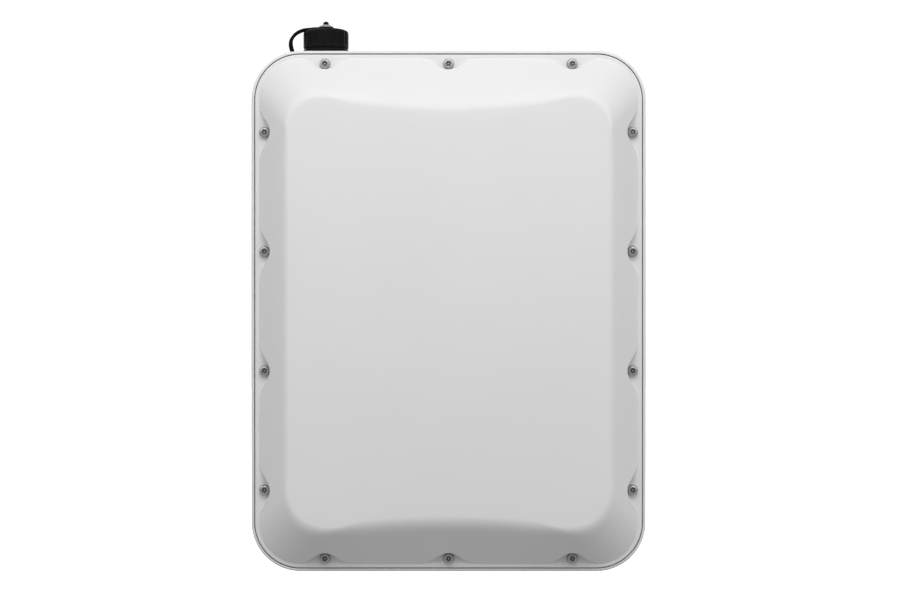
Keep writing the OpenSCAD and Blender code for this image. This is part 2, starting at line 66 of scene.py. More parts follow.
# ------------------------------------------------------------------ node helpers
class Nodes:
    def __init__(self, name):
        self.m = bpy.data.materials.new(name)
        self.m.use_nodes = True
        self.t = self.m.node_tree
        self.t.nodes.clear()
        self.out = self.t.nodes.new("ShaderNodeOutputMaterial")
        self.b = self.t.nodes.new("ShaderNodeBsdfPrincipled")
        self.t.links.new(self.b.outputs[0], self.out.inputs[0])
        self.co = self.t.nodes.new("ShaderNodeTexCoord").outputs["Object"]

    def n(self, kind, **props):
        x = self.t.nodes.new(kind)
        for k, v in props.items():
            setattr(x, k, v)
        return x

    def link(self, a, b):
        self.t.links.new(a, b)

    def scaled(self, sx, sy, sz):
        x = self.n("ShaderNodeMapping")
        self.link(self.co, x.inputs["Vector"])
        x.inputs["Scale"].default_value = (sx, sy, sz)
        return x.outputs[0]

    def noise(self, scale, detail=3, rough=0.5, vec=None, dist=0.0):
        x = self.n("ShaderNodeTexNoise")
        self.link(vec or self.co, x.inputs["Vector"])
        x.inputs["Scale"].default_value = scale
        x.inputs["Detail"].default_value = detail
        x.inputs["Roughness"].default_value = rough
        x.inputs["Distortion"].default_value = dist
        return x.outputs[0]

    def voronoi(self, scale, vec=None, feature="F1"):
        x = self.n("ShaderNodeTexVoronoi", feature=feature)
        self.link(vec or self.co, x.inputs["Vector"])
        x.inputs["Scale"].default_value = scale
        return x.outputs["Distance"]

    def rng(self, v, a, b, c, d):
        x = self.n("ShaderNodeMapRange")
        self.link(v, x.inputs[0])
        for i, q in zip((1, 2, 3, 4), (a, b, c, d)):
            x.inputs[i].default_value = q
        return x.outputs[0]

    def math(self, op, a, b=None):
        x = self.n("ShaderNodeMath", operation=op)
        for i, q in enumerate((a, b)):
            if q is None:
                continue
            if isinstance(q, (int, float)):
                x.inputs[i].default_value = q
            else:
                self.link(q, x.inputs[i])
        return x.outputs[0]

    def mix(self, f, a, b, mode="MIX"):
        x = self.n("ShaderNodeMix", data_type="RGBA", blend_type=mode)
        for s, q in ((0, f), (6, a), (7, b)):
            if isinstance(q, (int, float)):
                x.inputs[s].default_value = q
            elif isinstance(q, tuple):
                x.inputs[s].default_value = (*q, 1) if len(q) == 3 else q
            else:
                self.link(q, x.inputs[s])
        return x.outputs[2]

    def bump(self, h, dist, strength=1.0, normal=None):
        x = self.n("ShaderNodeBump")
        self.link(h, x.inputs["Height"])
        x.inputs["Distance"].default_value = dist
        x.inputs["Strength"].default_value = strength
        if normal is not None:
            self.link(normal, x.inputs["Normal"])
        return x.outputs[0]

    # mask of convex edges from pointiness, used to paint a highlight on the edges
    def edge(self, lo=0.52, hi=0.62):
        g = self.n("ShaderNodeNewGeometry")
        return self.rng(g.outputs["Pointiness"], lo, hi, 0.0, 1.0)


def surface(name, col, rough=0.5, metal=0.0, var=0.04, var_scale=18, fine=1400,
            grain=0.00003, rough_var=0.08, coat=0.0, spec=0.5, mottle=None,
            brushed=None, edge=None, sheen=0.0, dirt=0.0, grain2=None):
    """A procedural surface: broad colour drift, fine grain in colour, roughness and bump, and, when edge is given, a
    painted highlight on convex edges.
    """
    k = Nodes(name)
    c = tuple(col)
    dark = tuple(max(0.0, q * (1 - var)) for q in c)
    lite = tuple(min(1.0, q * (1 + var)) for q in c)
    broad = k.rng(k.noise(var_scale, 4, 0.6), 0.3, 0.7, 0.0, 1.0)
    colour = k.mix(broad, dark, lite)
    grain_v = k.noise(fine, 2, 0.6)
    if mottle:
        sp = k.rng(k.noise(mottle[0], 2, 0.5), 0.60, 0.72, 0.0, mottle[1])
        colour = k.mix(sp, colour, tuple(q * 0.55 for q in c))
    colour = k.mix(k.rng(grain_v, 0.3, 0.7, 0.0, 0.35), colour, dark)
    if dirt:
        dv = k.rng(k.noise(45, 6, 0.7), 0.52, 0.8, 0.0, dirt)
        colour = k.mix(dv, colour, tuple(q * 0.72 for q in c))
    # painted highlight: convex edges are mixed towards a lighter colour, as if they caught the light
    if edge:
        colour = k.mix(k.math("MULTIPLY", k.edge(), edge[0]), colour, tuple(edge[1]))
    k.link(colour, k.b.inputs["Base Color"])
    r = k.rng(k.noise(var_scale * 3, 4, 0.6), 0.3, 0.7, rough - rough_var, rough + rough_var)
    k.link(r, k.b.inputs["Roughness"])
    k.b.inputs["Metallic"].default_value = metal
    k.b.inputs["Specular IOR Level"].default_value = spec
    k.b.inputs["Coat Weight"].default_value = coat
    k.b.inputs["Coat Roughness"].default_value = 0.2
    k.b.inputs["Sheen Weight"].default_value = sheen
    h = grain_v
    if brushed:
        h = k.noise(brushed[0], 3, 0.6, vec=k.scaled(*brushed[1]))
    nrm = k.bump(h, grain)
    if grain2:
        nrm = k.bump(k.noise(grain2[0], 3, 0.55), grain2[1], normal=nrm)
    k.link(nrm, k.b.inputs["Normal"])
    return k.m


# ------------------------------------------------------------------ mesh helpers
class MB:
    """Collects vertices in millimetres (x, depth, z) and faces; depth is measured in front of y = 0."""

    def __init__(self):
        self.v, self.f, self.mi = [], [], []

    def add(self, pts):
        i = len(self.v)
        self.v.extend([tuple(map(float, p)) for p in pts])
        return list(range(i, len(self.v)))

    def face(self, ids, mi=0):
        self.f.append(tuple(ids))
        self.mi.append(mi)

    def rings(self, rings, close=True, first=False, last=False, mats=None):
        ids = [self.add(r) for r in rings]
        n = len(ids[0])
        for j in range(len(ids) - 1):
            m = mats[j] if mats else 0
            for i in range(n if close else n - 1):
                k = (i + 1) % n
                self.face((ids[j][i], ids[j][k], ids[j + 1][k], ids[j + 1][i]), m)
        if first:
            self.face(list(reversed(ids[0])), mats[0] if mats else 0)
        if last:
            self.face(ids[-1], mats[-1] if mats else 0)
        return ids

    def build(self, name, mats, body, sharp=38, flip=None, weld=None):
        me = bpy.data.meshes.new(name)
        me.from_pydata([(x * MM, -d * MM, z * MM) for x, d, z in self.v], [], self.f)
        if not isinstance(mats, (list, tuple)):
            mats = [mats]
        for m in mats:
            me.materials.append(m)
        me.polygons.foreach_set("material_index", self.mi)
        bm = bmesh.new()
        bm.from_mesh(me)
        if weld:
            bmesh.ops.remove_doubles(bm, verts=bm.verts, dist=weld * MM)
        bmesh.ops.recalc_face_normals(bm, faces=bm.faces)
        lim = math.radians(sharp)
        for f in bm.faces:
            f.smooth = True
        for e in bm.edges:
            if len(e.link_faces) == 2 and e.calc_face_angle(0) > lim:
                e.smooth = False
        bm.to_mesh(me)
        bm.free()
        me.update()
        o = bpy.data.objects.new(name, me)
        bpy.context.scene.collection.objects.link(o)
        if body:
            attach(o, body)
        return o


def rr(hx, hz, r, d, nc=14):
    """Rounded rectangle ring at depth d, from the lower end of the right side."""
    pts = []
    for (cx, cz, a0) in ((1, 1, 0), (-1, 1, 90), (-1, -1, 180), (1, -1, 270)):
        for i in range(nc + 1):
            a = math.radians(a0 + 90 * i / nc)
            pts.append((cx * (hx - r) + r * math.cos(a), d, cz * (hz - r) + r * math.sin(a)))
    return pts


def lathe_y(mb, x, z, prof, n=48, rf=None, first=True, last=True, mats=None, rot=0.0):
    """Rings about an axis along the depth; prof is [(r, d), ...]."""
    rings = []
    for j, (r, d) in enumerate(prof):
        ring = []
        for i in range(n):
            a = 2 * PI * i / n
            q = rf(j, r, a) if rf else r
            ring.append((x + q * math.cos(a + rot), d, z + q * math.sin(a + rot)))
        rings.append(ring)
    return mb.rings(rings, first=first, last=last, mats=mats)


def lathe_z(mb, x, d, prof, n=64, rf=None, first=True, last=True, mats=None, rot=0.0):
    """Rings about an upright axis; prof is [(r, z), ...]."""
    rings = []
    for j, (r, z) in enumerate(prof):
        ring = []
        for i in range(n):
            a = 2 * PI * i / n
            q = rf(j, r, a) if rf else r
            ring.append((x + q * math.cos(a + rot), d + q * math.sin(a + rot), z))
        rings.append(ring)
    return mb.rings(rings, first=first, last=last, mats=mats)


def rounded(r0, r1, z0, z1, rnd, k=4):
    """Profile of a solid or tubular ring, closed by the caller, with rounded outer corners."""
    out = []
    s = 1 if z1 > z0 else -1
    for i in range(k + 1):
        a = PI / 2 * i / k
        out.append((r1 - rnd + rnd * math.sin(a), z0 + s * (rnd - rnd * math.cos(a))))
    for i in range(k + 1):
        a = PI / 2 * i / k
        out.append((r1 - rnd + rnd * math.cos(a), z1 - s * (rnd - rnd * math.sin(a))))
    return out


# ------------------------------------------------------------------ materials
M_RADOME = surface("radome_plastic", (0.74, 0.74, 0.74), rough=0.52, var=0.012, var_scale=9,
                   fine=2600, grain=0.000012, rough_var=0.05, spec=0.42, dirt=0.05,
                   grain2=(700, 0.00001))
# edge=(0.25, ...) paints a highlight: the housing's convex edges are mixed towards a lighter grey
M_PAINT = surface("housing_powder_coat", (0.72, 0.72, 0.72), rough=0.55, var=0.02, var_scale=14,
                  fine=1500, grain=0.00004, rough_var=0.07, spec=0.45, mottle=(900, 0.05),
                  dirt=0.12, grain2=(420, 0.00003), edge=(0.25, (0.80, 0.80, 0.79)))
M_MACHINED = surface("machined_aluminium", (0.74, 0.74, 0.73), rough=0.32, metal=1.0, var=0.05,
                     fine=900, grain=0.00001, brushed=(260, (6, 1, 60)))
M_STEEL = surface("stainless_screw", (0.60, 0.60, 0.59), rough=0.30, metal=1.0, var=0.06,
                  var_scale=120, fine=2500, grain=0.000012, rough_var=0.10)
M_HEAD = surface("screw_head_steel", (0.50, 0.50, 0.50), rough=0.38, metal=1.0, var=0.10,
                 var_scale=120, fine=2500, grain=0.000012, rough_var=0.10)
# painted shade: the washers get a much darker steel than the heads to stand for the shaded ring round each screw
# head
M_WASHER_SHADE = surface("washer_steel_painted_shade", (0.24, 0.24, 0.24), rough=0.35, metal=1.0, var=0.1,
                         var_scale=90, fine=2200, grain=0.00001, rough_var=0.06)
# painted shade: a darker steel that stands for the shade inside each screw's socket recess
M_RECESS_SHADE = surface("stainless_recess_painted_shade", (0.19, 0.19, 0.19), rough=0.5, metal=1.0, var=0.1,
                       var_scale=200, fine=2500, grain=0.00001)
# edge=(0.5, ...) paints a highlight: the cap's flute ridges and other convex edges are mixed towards a lighter black
M_CAP = surface("cap_nylon", (0.0072, 0.0072, 0.0074), rough=0.52, var=0.22, var_scale=60,
                fine=2200, grain=0.00002, rough_var=0.08, spec=0.05, edge=(0.5, (0.014, 0.014, 0.014)))
M_STRAP = surface("tether_rubber", (0.0035, 0.0035, 0.0035), rough=0.62, var=0.25, var_scale=80,
                  fine=1800, grain=0.00003, rough_var=0.08, spec=0.05)
M_BLACK = surface("socket_nylon", (0.012, 0.012, 0.013), rough=0.46, var=0.15, var_scale=60,
                  fine=2200, grain=0.00002, rough_var=0.08, spec=0.45)
M_GREY = surface("grey_polyamide", (0.66, 0.66, 0.655), rough=0.42, var=0.02, var_scale=40,
                 fine=2000, grain=0.00001, spec=0.45)
M_WASHER = surface("washer_polyamide", (0.34, 0.34, 0.34), rough=0.5, var=0.03, var_scale=60,
                   fine=2000, grain=0.00001, spec=0.3)
M_SEAL = surface("seal_rubber", (0.03, 0.03, 0.03), rough=0.7, var=0.2, var_scale=90, fine=1600,
                 grain=0.00003, spec=0.3)
M_NICKEL = surface("satin_nickel", (0.55, 0.53, 0.49), rough=0.33, metal=1.0, var=0.05,
                   var_scale=70, fine=2000, grain=0.00001)


# ------------------------------------------------------------------ radome cover
def bow(x, w, top=True):
    return 1 - min(1.0, abs(x) / w) ** (1.55 if top else 2.0)


def bell(u):
    return 8.3 * math.exp(-(abs(u) / 11.3) ** 2.2)


def stations(lo, hi, centres):
    s = {round(lo, 3), round(hi, 3)}
    for c in centres:
        u = -26.0
        while u <= 26.0:
            s.add(round(c + u, 3))
            u += 0.5 if abs(u + 0.1) < 14.0 else 1.0
    s = sorted(q for q in s if lo - 1e-6 <= q <= hi + 1e-6)
    out = [s[0]]
    for q in s[1:]:
        gap = q - out[-1]
        if gap > 4.0:
            k = int(math.ceil(gap / 3.5))
            base = out[-1]
            for i in range(1, k):
                out.append(base + gap * i / k)
        out.append(q)
    return out


def squeeze(q, k0, f1, p1):
    """Same place up to k0, then eased so that f1 on the foot meets p1 on the face's edge."""
    a = abs(q)
    if a <= k0:
        return q
    return math.copysign(k0 + (a - k0) * (p1 - k0) / (f1 - k0), q)


def columns():
    """One entry per column round the cover: foot point, face-edge point, outward normal, side, coordinate."""
    cols = []
    fx, fz = HW - FOOT_IN, HH - FOOT_IN
    sx, sz = HW - CR, HH - CR                     # ends of the straight runs
    pr_t, pr_b = FACE_T - FACE_RT, FACE_B - FACE_RB
    px_t, px_b = FACE_HW - FACE_RT, FACE_HW - FACE_RB
    zs = stations(-sz, sz, [i * SPZ for i in (-1.5, -.5, .5, 1.5)])
    xs = stations(-sx, sx, [i * SPX for i in (-1, 0, 1)])

    def pz(z):
        return squeeze(z, 112, sz, pr_t if z > 0 else pr_b)

    def top(x):
        p = squeeze(x, 62, sx, px_t)
        return p, FACE_T - BOW_T * bow(p, FACE_HW)

    def bot(x):
        p = squeeze(x, 58, sx, px_b)
        return p, -(FACE_B - BOW_B * bow(p, FACE_HW, False))

    R = CR - FOOT_IN

    def corner(cx, cz, a0):
        for i in range(1, 26):
            a = math.radians(a0 + 90 * i / 26)
            ca, sa = math.cos(a), math.sin(a)
            f = (cx * sx + R * ca, cz * sz + R * sa)
            q, g, r = (px_t, pr_t, FACE_RT) if cz > 0 else (px_b, -pr_b, FACE_RB)
            p0 = (cx * q + r * ca, g + r * sa)
            b = BOW_T if cz > 0 else BOW_B
            p = (p0[0], p0[1] - cz * b * abs(sa) * bow(p0[0], FACE_HW, cz > 0))
            cols.append((f, p, (ca, sa), None, None))

    for z in zs:
        cols.append(((fx, z), (FACE_HW, pz(z)), (1, 0), "R", z))
    corner(1, 1, 0)
    for x in reversed(xs):
        cols.append(((x, fz), top(x), (0, 1), "T", x))
    corner(-1, 1, 90)
    for z in reversed(zs):
        cols.append(((-fx, z), (-FACE_HW, pz(z)), (-1, 0), "L", z))
    corner(-1, -1, 180)
    for x in xs:
        cols.append(((x, -fz), bot(x), (0, -1), "B", x))
    corner(1, -1, 270)
    return cols


def crown(x, z):
    return CROWN * max(0.0, 1 - (x / 124) ** 2) * max(0.0, 1 - ((z + 2) / 172) ** 2)


def qbez(a, b, c, k):
    return [tuple((1 - t) ** 2 * a[i] + 2 * t * (1 - t) * b[i] + t * t * c[i] for i in range(2))
            for t in (j / k for j in range(1, k + 1))]


def make_radome():
    cols = columns()
    STEP = 0.14
    rows = []
    edge_rings = []
    for (F, P, nrm, side, q) in cols:
        F, P = np.array(F), np.array(P)
        L = float(np.linalg.norm(P - F))
        hp = DOME_H + crown(*P)
        # pocket depth along this column, solved on the true bell outline
        vp = 0.0
        Lp = L
        if side:
            ax = 1 if side in "LR" else 0
            cs = [i * SPZ for i in (-1.5, -.5, .5, 1.5)] if side in "LR" else [i * SPX for i in (-1, 0, 1)]
            Lp = abs((F - P)[1 - ax])             # perpendicular run
            s = 0.0
            for _ in range(8):
                u = (F + (P - F) * s)[ax]
                s = max(bell(u - c) for c in cs) / Lp
            vp = s * Lp
        if vp < 0.03:
            vp = 0.0
        # widths of the soft edge round the raised face
        a = abs(nrm[1])
        wide = 2.7 + (3.7 if nrm[1] > 0 else 3.3) * a * a
        s1, s2 = 1 - wide / L, 1 + wide / L
        hB = STEP + (hp - STEP) * vp / Lp
        rA, rB = min(0.5, 0.4 * hB), min(0.75, 0.45 * hB)
        sl = (hp - STEP) / Lp
        th = math.atan(sl)
        pts = [(-1.9 + (vp - rA + 1.9) * t, 0.0) for t in (0, 0.4, 0.75, 1)]
        for ph in (22.5, 45, 67.5, 90):
            p = math.radians(ph)
            pts.append((vp - rA + rA * math.sin(p), rA - rA * math.cos(p)))
        pts.append((vp, (rA + hB - rB) / 2))
        pts.append((vp, hB - rB))
        pts += qbez((vp, hB - rB), (vp, hB), (vp + rB * math.cos(th), hB + rB * math.sin(th)), 5)
        v0 = vp + rB * math.cos(th)
        v1 = s1 * Lp
        for t in (0.08, 0.25, 0.5, 0.75, 1.0):
            v = v0 + (v1 - v0) * t
            pts.append((v, STEP + sl * v))
        P2 = F + (P - F) * s2
        h2 = DOME_H + crown(*P2)
        pts += qbez((v1, STEP + sl * v1), (Lp, hp), (s2 * Lp, h2), 9)
        col = [tuple(F + np.array(nrm) * (FOOT_IN - i)) + (h,) for i, h in
               ((2.9, -4.0), (2.7, -3.8), (2.7, -0.55), (2.78, -0.22), (2.92, -0.06))]
        for v, h in pts:
            s = v / Lp
            w = F + (P - F) * s if v >= 0 else F + np.array(nrm) * (-v)
            col.append((w[0], w[1], h))
        rows.append(col)
    rows = np.array(rows)                          # columns x rows x 3
    n, m = rows.shape[:2]
    mb = MB()
    rings = [[(p[0], RIM_D + p[2], p[1]) for p in rows[:, j]] for j in range(m)]
    ids = mb.rings(rings)
    # raised face: even triangulation inside the last ring
    ring = rows[:, -1, :2]
    inner, ok = [], []
    g = 7.0
    ctr = np.array([0.0, -2.0])
    shr = ctr + (ring - ctr) * 0.955
    poly = [tuple(p) for p in shr]

    def inside(x, z):
        c = False
        j = len(poly) - 1
        for i in range(len(poly)):
            xi, zi = poly[i]
            xj, zj = poly[j]
            if (zi > z) != (zj > z) and x < (xj - xi) * (z - zi) / (zj - zi) + xi:
                c = not c
            j = i
        return c
    row = 0
    z = -165.0
    while z < 165:
        x = -112.0 + (g / 2 if row % 2 else 0)
        while x < 112:
            if inside(x, z):
                inner.append((x, z))
            x += g
        z += g * 0.866
        row += 1

    def fill(ring_ids, ring2d, height, flip=False):
        pts2 = [Vector((float(p[0]), float(p[1]))) for p in ring2d] + [Vector(p) for p in inner]
        nb = len(ring2d)
        res = delaunay_2d_cdt(pts2, [(i, (i + 1) % nb) for i in range(nb)],
                              [list(range(nb))], 1, 1e-7)
        vv, _, ff, orig = res[0], res[1], res[2], res[3]
        idmap = []
        for v, o in zip(vv, orig):
            o = [q for q in o]
            if o and o[0] < nb:
                idmap.append(ring_ids[o[0]])
            else:
                idmap.append(mb.add([(v.x, height(v.x, v.y), v.y)])[0])
        for f in ff:
            mb.face([idmap[i] for i in f])

    fill(ids[-1], ring, lambda x, z: RIM_D + DOME_H + crown(x, z))
    # inside of the cover
    sx, sz = HW - CR, HH - CR
    inner_cols = []
    for (F, P, nrm, side, q) in cols:
        F, P = np.array(F), np.array(P)
        G = F - np.array(nrm) * 11.1
        d = (F - P) / np.linalg.norm(F - P)
        Q = P + d * -1.2
        hq = DOME_H + crown(*P) - 2.9
        LL = float(np.linalg.norm(Q - G))
        col = [(*(F + np.array(nrm) * 2.2), -4.0), (*(F - np.array(nrm) * 6.5), -4.0),
               (*(G + np.array(nrm) * 0.25), -4.0), (*G, -3.75), (*G, 1.8)]
        k = [(0.0, 2.5)] + [(t, 2.5 + (hq - 2.5) * t) for t in (0.3, 0.6, 0.84)]
        k += qbez((0.84, 2.5 + (hq - 2.5) * 0.84), (1.0, hq), (1.16, hq + 0.05), 6)
        for s, h in k:
            w = G + (Q - G) * s
            col.append((w[0], w[1], h))
        inner_cols.append(col)
    ic = np.array(inner_cols)
    rings2 = [[(p[0], RIM_D + p[2], p[1]) for p in ic[:, j]] for j in range(ic.shape[1])]
    ids2 = mb.rings(rings2)
    # join the flange's back edge to the inside
    for i in range(n):
        k = (i + 1) % n
        mb.face((ids[0][i], ids[0][k], ids2[0][k], ids2[0][i]))
    fill(ids2[-1], ic[:, -1, :2], lambda x, z: RIM_D + DOME_H + crown(x, z) - 2.85)
    return mb.build("radome_shell", M_RADOME, "front_cover", sharp=50)


radome = make_radome()
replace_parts(radome, "radome_cover")


# ------------------------------------------------------------------ rear housing
def make_housing():
    mb = MB()
    prof = [(15.4, 25, 22.0), (13.2, 27.0, 22.0), (12.5, 27.6, 22.22), (12.12, 27.9, 22.8),
            (12, 28, 23.8),
            (12, 28, 53.0), (11.85, 28, 54.4), (11.3, 28, 55.6), (10.3, 28, 56.3), (9.2, 28, 56.5),
            (1.7, CR - 1.7, 56.5), (0.8, CR - 0.8, 56.65), (0.25, CR - 0.25, 57.1), (0.0, CR, 58.0),
            (0.0, CR, 64.1), (0.07, CR - 0.07, 64.7), (0.28, CR - 0.28, 65.25),
            (0.62, CR - 0.62, 65.68), (1.05, CR - 1.05, 65.93), (1.35, CR - 1.35, 66.0),
            (1.7, CR - 1.7, 66.0), (1.88, CR - 1.88, 65.93), (1.98, CR - 1.98, 65.75),
            (2.0, CR - 2.0, 65.4), (2.0, CR - 2.0, 62.35), (2.08, CR - 2.08, 62.1),
            (2.3, CR - 2.3, 62.0),
            (12.2, CR - 12.2, 62.0), (12.2, CR - 12.2, 60.4), (14.8, CR - 14.8, 60.4),
            (14.8, CR - 14.8, 62.0),
            (15.2, 24.2, 62.0), (15.5, 24.5, 61.7),
            (15.5, 24.5, 27.2), (15.8, 24.2, 26.1), (16.6, 23.6, 25.6), (18.0, 22.6, 25.5)]
    rings = [rr(HW - i, HH - i, r, d, 18) for i, r, d in prof]
    mb.rings(rings, first=True, last=True)
    return mb.build("housing_shell", M_PAINT, "housing", sharp=40)


housing = make_housing()
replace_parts(housing, "rear_housing", "housing_frame")


def make_fins():
    mb = MB()
    for i in range(21):
        x = -115 + 11.5 * i
        lo = 144.5 if abs(x) > 108 else 157.5
        lv = [(22.4, 2.5, 1.0), (21.7, 1.95, 0.5), (20.8, 1.6, 0.1), (19.5, 1.48, -0.3),
              (4.2, 1.05, -5.4), (3.0, 0.98, -6.0), (2.4, 0.78, -6.4), (2.08, 0.45, -6.8),
              (2.0, 0.15, -7.1)]
        rings = []
        for d, t, dl in lv:
            ring = rr(t, lo + dl, t * 0.96, d, 5)
            rings.append([(x + p[0], p[1], p[2]) for p in ring])
        mb.rings(rings, first=True, last=True)
    return mb.build("cooling_fins", M_PAINT, "housing", sharp=50)


make_fins()


def thread_hole(rm, r0, d0, depth, pitch, n_t):
    """Profile of a tapped blind hole, entering at depth d0 with a countersink."""
    out = [(r0 + 0.9, d0), (r0 + 0.25, d0 + 0.65)]
    d = d0 + 0.9
    for i in range(n_t):
        out += [(r0 + 0.28, d), (r0, d + pitch * 0.5)]
        d += pitch
    out += [(r0, d0 + depth - 1.0), (r0 * 0.9, d0 + depth), (0.3, d0 + depth + 1.2)]
    return out


def make_bosses():
    mb = MB()
    for x in (-50, 50):
        ring = []
        lv = [(22.4, 9.6, 1.6), (21.5, 8.7, 0.7), (20.4, 8.15, 0.15), (19.0, 8.0, 0.0),
              (0.9, 7.6, -0.4), (0.25, 7.35, -0.65), (0.0, 6.8, -1.2)]
        rings = []
        for d, t, dl in lv:
            rg = rr(t, 50 + dl, min(2.0, t * 0.4), d, 4)
            rings.append([(x + p[0], p[1], p[2]) for p in rg])
        mb.rings(rings, first=True, last=True)
        for z in (-50, 50):
            prof = [(15.2, 22.4), (14.0, 21.6), (13.3, 20.4), (13.0, 18.8), (12.8, 1.1),
                    (12.65, 0.5), (12.2, 0.12), (11.6, 0.0), (9.6, 0.0), (9.45, 0.0)]
            hole = thread_hole(0, 3.4, 0.0, 16, 1.25, 11)
            prof2 = prof + hole
            mats = [0] * 8 + [1] * (len(prof2) - 8)
            lathe_y(mb, x, z, prof2, n=56, first=True, last=True, mats=mats)
    return mb.build("bracket_bosses", [M_PAINT, M_MACHINED], "housing", sharp=32)


make_bosses()


def make_earth_pad():
    mb = MB()
    lv = [(22.4, 19.6, 11.6), (21.4, 18.6, 10.6), (20.0, 18.05, 10.05), (3.0, 17.8, 9.8),
          (2.3, 17.55, 9.55), (2.0, 17.0, 9.0)]
    rings = []
    for d, hx, hz in lv:
        rings.append([(-84 + p[0], p[1], -132 + p[2]) for p in rr(hx, hz, 2.6, d, 6)])
    mb.rings(rings, first=True, last=False, mats=[0] * 5)
    # machined face with two round holes, as one ring-to-hole strip per half
    outer = rings[-1]
    ids_o = mb.add(outer)
    loops = []
    for sx in (-1, 1):
        cx = -84 + sx * 15.9 / 2
        prof = [(3.2, 2.0), (2.7, 2.5)]
        d = 2.8
        for i in range(9):
            prof += [(2.72, d), (2.5, d + 0.5)]
            d += 1.0
        prof += [(2.5, 13.0), (0.3, 14.4)]
        ids = lathe_y(mb, cx, -132, prof, n=32, first=False, last=True, mats=[1] * len(prof))
        loops.append(ids[0])
    pts = [Vector((mb.v[i][0], mb.v[i][2])) for i in ids_o]
    src = list(ids_o)
    edges = [(i, (i + 1) % len(pts)) for i in range(len(pts))]
    for lp in loops:
        b = len(pts)
        pts += [Vector((mb.v[i][0], mb.v[i][2])) for i in lp]
        src += lp
        edges += [(b + i, b + (i + 1) % len(lp)) for i in range(len(lp))]
    res = delaunay_2d_cdt(pts, edges, [], 1, 1e-6)
    cs = [Vector((-84 + s * 15.9 / 2, -132)) for s in (-1, 1)]
    for f in res[2]:
        c = sum((res[0][i] for i in f), Vector((0, 0))) / len(f)
        if min((c - q).length for q in cs) < 3.1:
            continue
        mb.face([src[res[3][i][0]] for i in f], 1)
    return mb.build("earthing_pad", [M_PAINT, M_MACHINED], "housing",
                    sharp=32, weld=0.001)


make_earth_pad()


def make_flange_bosses():
    """Short round bosses behind the flange, one for each cover screw except under the port's flange."""
    mb = MB()
    for x, z, side in SCREWS:
        if side == "T" and abs(x - PX) < 20:
            continue
        prof = [(0.4, 52.5), (4.2, 52.5), (4.6, 52.62), (4.85, 52.95), (4.9, 53.4), (5.0, 55.0),
                (5.15, 55.7), (5.5, 56.2), (6.2, 56.55)]
        lathe_y(mb, x, z, prof, n=40, first=True, last=True)
    return mb.build("screw_bosses", M_PAINT, "housing", sharp=40)


make_flange_bosses()


# ------------------------------------------------------------------ cover screws and washers
def lobe(a, r, amp):
    return r + amp * math.cos(6 * a)


def make_screws():
    mb = MB()
    seat = RIM_D + 0.8
    top = seat + 3.2
    rot0 = [0.2, 1.1, 0.65, 0.9, 0.35, 0.1, 0.8, 0.5, 1.25, 0.05, 0.7, 0.3, 1.0, 0.55]
    for (x, z, _), rot in zip(SCREWS, rot0):
        prof = [(1.5, 57.8), (1.85, 58.3)]
        d = 58.6
        while d < 65.4:
            prof += [(1.95, d), (1.66, d + 0.35)]
            d += 0.7
        prof += [(1.95, 65.8), (1.95, seat - 0.02), (3.2, seat), (3.42, seat + 0.1), (3.5, seat + 0.3),
                 (3.5, top - 1.25), (3.47, top - 1.0), (3.36, top - 0.72), (3.18, top - 0.45),
                 (2.95, top - 0.22), (2.7, top - 0.07), (2.45, top), (2.2, top)]
        n0 = len(prof)
        prof += [(1.86, top), (1.76, top - 0.12), (1.7, top - 0.3), (1.66, top - 1.7),
                 (0.62, top - 1.8), (0.58, top - 1.7), (0.56, top - 0.75), (0.48, top - 0.62),
                 (0.3, top - 0.58)]
        amp = {n0: 0.26, n0 + 1: 0.27, n0 + 2: 0.28, n0 + 3: 0.28}

        def rf(j, r, a, amp=amp):
            return lobe(a, r, amp.get(j, 0.0))
        # painted shade: the socket's walls and floor take the darker steel, while the entry chamfer and centre pin
        # keep the head steel
        mats = [0] * (n0 + 1) + [1] * 4 + [0] * (len(prof) - n0 - 5)
        lathe_y(mb, x, z, prof, n=72, rf=rf, mats=mats, rot=rot)
    return mb.build("cover_screw_set", [M_HEAD, M_RECESS_SHADE], "front_cover", sharp=35)


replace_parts(make_screws(), "cover_screws")


def make_washers():
    mb = MB()
    for x, z, _ in SCREWS:
        prof = [(2.15, RIM_D + 0.12), (2.3, RIM_D), (3.55, RIM_D), (3.74, RIM_D + 0.2),
                (3.74, RIM_D + 0.5), (3.5, RIM_D + 0.8), (2.3, RIM_D + 0.8), (2.15, RIM_D + 0.68),
                (2.15, RIM_D + 0.12)]
        lathe_y(mb, x, z, prof, n=56, first=False, last=False)
    # the washers carry the darker steel that paints the shaded ring round each head
    return mb.build("cover_washer_set", M_WASHER_SHADE, "front_cover", sharp=40, weld=0.0005)


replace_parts(make_washers(), "cover_screw_washers")


# ------------------------------------------------------------------ data port
def make_port():
    mb = MB()
    zt = BODY_TOP
    prof = [(9.5, zt - 18), (10.6, zt - 18), (10.9, zt - 17.6)]
    z = zt - 17
    while z < zt - 4.5:
        prof += [(10.9, z), (10.45, z + 0.5)]
        z += 1.0
    prof += [(10.9, zt - 4), (10.9, zt + 1.0), (14.2, zt + 1.0), (14.8, zt + 1.15), (15, zt + 1.5),
             (15, zt + 2.9), (14.85, zt + 3.25), (14.4, zt + 3.4), (12.7, zt + 3.4), (12.4, zt + 3.55),
             (12.4, zt + 4.6)]
    z = zt + 5.2
    while z < 186.6:
        prof += [(12.0, z), (12.45, z + 0.75), (12.45, z + 1.15), (12.0, z + 1.9)]
        z += 2.6
    prof += [(12.4, 186.9), (12.2, 187.6), (11.8, 188.0), (10.1, 188.0), (9.7, 187.8), (9.5, 187.3),
             (9.5, zt - 18)]
    lathe_z(mb, PX, PD, prof, n=96, first=False, last=False)
    return mb.build("port_shell", M_NICKEL, "housing", sharp=35, weld=0.0005)


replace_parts(make_port(), "port_body")


def smooth01(t):
    t = min(1.0, max(0.0, t))
    return t * t * (3 - 2 * t)


